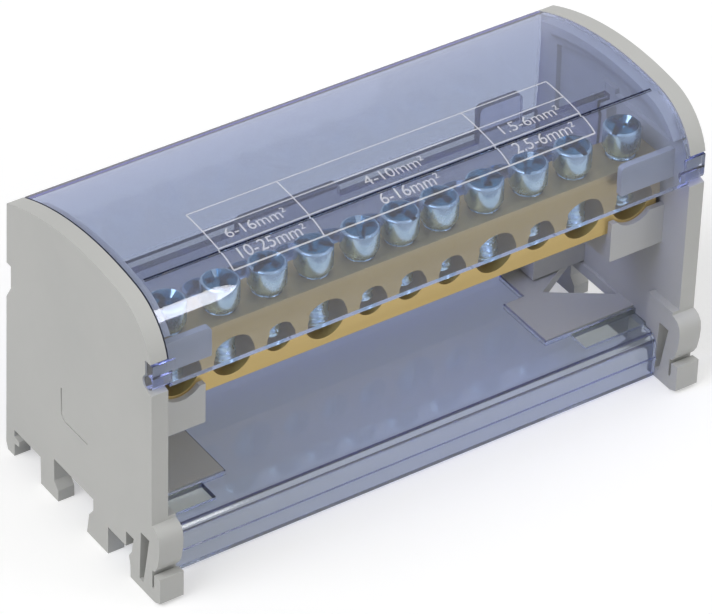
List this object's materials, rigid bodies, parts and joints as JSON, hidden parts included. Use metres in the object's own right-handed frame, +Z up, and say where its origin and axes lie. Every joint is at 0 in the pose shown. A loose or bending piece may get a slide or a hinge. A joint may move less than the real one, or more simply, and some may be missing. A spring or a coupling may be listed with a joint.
{
  "type": "power distribution block",
  "caption": "Rail-mounted power distribution block: grey arched end caps, brass bars with clamping screws on two levels, clear blue tray and a hinged clear blue cover.",
  "frame": {"origin": "middle of the footprint, on the plane of the feet", "axes": "+X along the block, +Y from the wire side to the back, +Z up from the rail to the cover"},
  "size_m": [0.105, 0.047, 0.0553],
  "materials": {
    "grey_moulding": "moulded, satin",
    "clear_blue": "clear, polished",
    "bar_brass": "drawn, lightly dulled",
    "zinc_steel": "blue zinc"
  },
  "bodies": {
    "body": {"left_end_cap": "grey_moulding", "right_end_cap": "grey_moulding", "base_tray": "clear_blue", "barrier": "clear_blue", "front_busbar": "bar_brass", "rear_busbar": "bar_brass"},
    "cover": {"cover": "clear_blue"},
    "front_screw_01": {"front_screw_01": "zinc_steel"},
    "front_screw_02": {"front_screw_02": "zinc_steel"},
    "front_screw_03": {"front_screw_03": "zinc_steel"},
    "front_screw_04": {"front_screw_04": "zinc_steel"},
    "front_screw_05": {"front_screw_05": "zinc_steel"},
    "front_screw_06": {"front_screw_06": "zinc_steel"},
    "front_screw_07": {"front_screw_07": "zinc_steel"},
    "front_screw_08": {"front_screw_08": "zinc_steel"},
    "front_screw_09": {"front_screw_09": "zinc_steel"},
    "front_screw_10": {"front_screw_10": "zinc_steel"},
    "front_screw_11": {"front_screw_11": "zinc_steel"},
    "rear_screw_01": {"rear_screw_01": "zinc_steel"},
    "rear_screw_02": {"rear_screw_02": "zinc_steel"},
    "rear_screw_03": {"rear_screw_03": "zinc_steel"},
    "rear_screw_04": {"rear_screw_04": "zinc_steel"},
    "rear_screw_05": {"rear_screw_05": "zinc_steel"},
    "rear_screw_06": {"rear_screw_06": "zinc_steel"},
    "rear_screw_07": {"rear_screw_07": "zinc_steel"},
    "rear_screw_08": {"rear_screw_08": "zinc_steel"},
    "rear_screw_09": {"rear_screw_09": "zinc_steel"},
    "rear_screw_10": {"rear_screw_10": "zinc_steel"},
    "rear_screw_11": {"rear_screw_11": "zinc_steel"}
  },
  "joints": [
    {"name": "cover_hinge", "type": "hinge", "parent": "body", "child": "cover", "pos_m": [0, -0.01985, 0.04215], "axis": [1, 0, 0], "range_deg": [0, 100]},
    {"name": "front_screw_01_travel", "type": "slide", "parent": "body", "child": "front_screw_01", "axis": [0, 0, 1], "range_m": [-0.0003, 0.0037]},
    {"name": "front_screw_02_travel", "type": "slide", "parent": "body", "child": "front_screw_02", "axis": [0, 0, 1], "range_m": [-0.0003, 0.0037]},
    {"name": "front_screw_03_travel", "type": "slide", "parent": "body", "child": "front_screw_03", "axis": [0, 0, 1], "range_m": [-0.0003, 0.0037]},
    {"name": "front_screw_04_travel", "type": "slide", "parent": "body", "child": "front_screw_04", "axis": [0, 0, 1], "range_m": [-0.0003, 0.0037]},
    {"name": "front_screw_05_travel", "type": "slide", "parent": "body", "child": "front_screw_05", "axis": [0, 0, 1], "range_m": [-0.0003, 0.0037]},
    {"name": "front_screw_06_travel", "type": "slide", "parent": "body", "child": "front_screw_06", "axis": [0, 0, 1], "range_m": [-0.0003, 0.0037]},
    {"name": "front_screw_07_travel", "type": "slide", "parent": "body", "child": "front_screw_07", "axis": [0, 0, 1], "range_m": [-0.0003, 0.0037]},
    {"name": "front_screw_08_travel", "type": "slide", "parent": "body", "child": "front_screw_08", "axis": [0, 0, 1], "range_m": [-0.0003, 0.0037]},
    {"name": "front_screw_09_travel", "type": "slide", "parent": "body", "child": "front_screw_09", "axis": [0, 0, 1], "range_m": [-0.0003, 0.0037]},
    {"name": "front_screw_10_travel", "type": "slide", "parent": "body", "child": "front_screw_10", "axis": [0, 0, 1], "range_m": [-0.0003, 0.0037]},
    {"name": "front_screw_11_travel", "type": "slide", "parent": "body", "child": "front_screw_11", "axis": [0, 0, 1], "range_m": [-0.0007, 0.0033]},
    {"name": "rear_screw_01_travel", "type": "slide", "parent": "body", "child": "rear_screw_01", "axis": [0, 0, 1], "range_m": [-0.0003, 0.0037]},
    {"name": "rear_screw_02_travel", "type": "slide", "parent": "body", "child": "rear_screw_02", "axis": [0, 0, 1], "range_m": [-0.0003, 0.0037]},
    {"name": "rear_screw_03_travel", "type": "slide", "parent": "body", "child": "rear_screw_03", "axis": [0, 0, 1], "range_m": [-0.0003, 0.0037]},
    {"name": "rear_screw_04_travel", "type": "slide", "parent": "body", "child": "rear_screw_04", "axis": [0, 0, 1], "range_m": [-0.0003, 0.0037]},
    {"name": "rear_screw_05_travel", "type": "slide", "parent": "body", "child": "rear_screw_05", "axis": [0, 0, 1], "range_m": [-0.0003, 0.0037]},
    {"name": "rear_screw_06_travel", "type": "slide", "parent": "body", "child": "rear_screw_06", "axis": [0, 0, 1], "range_m": [-0.0003, 0.0037]},
    {"name": "rear_screw_07_travel", "type": "slide", "parent": "body", "child": "rear_screw_07", "axis": [0, 0, 1], "range_m": [-0.0003, 0.0037]},
    {"name": "rear_screw_08_travel", "type": "slide", "parent": "body", "child": "rear_screw_08", "axis": [0, 0, 1], "range_m": [-0.0003, 0.0037]},
    {"name": "rear_screw_09_travel", "type": "slide", "parent": "body", "child": "rear_screw_09", "axis": [0, 0, 1], "range_m": [-0.0003, 0.0037]},
    {"name": "rear_screw_10_travel", "type": "slide", "parent": "body", "child": "rear_screw_10", "axis": [0, 0, 1], "range_m": [-0.0003, 0.0037]},
    {"name": "rear_screw_11_travel", "type": "slide", "parent": "body", "child": "rear_screw_11", "axis": [0, 0, 1], "range_m": [-0.0003, 0.0037]}
  ]
}
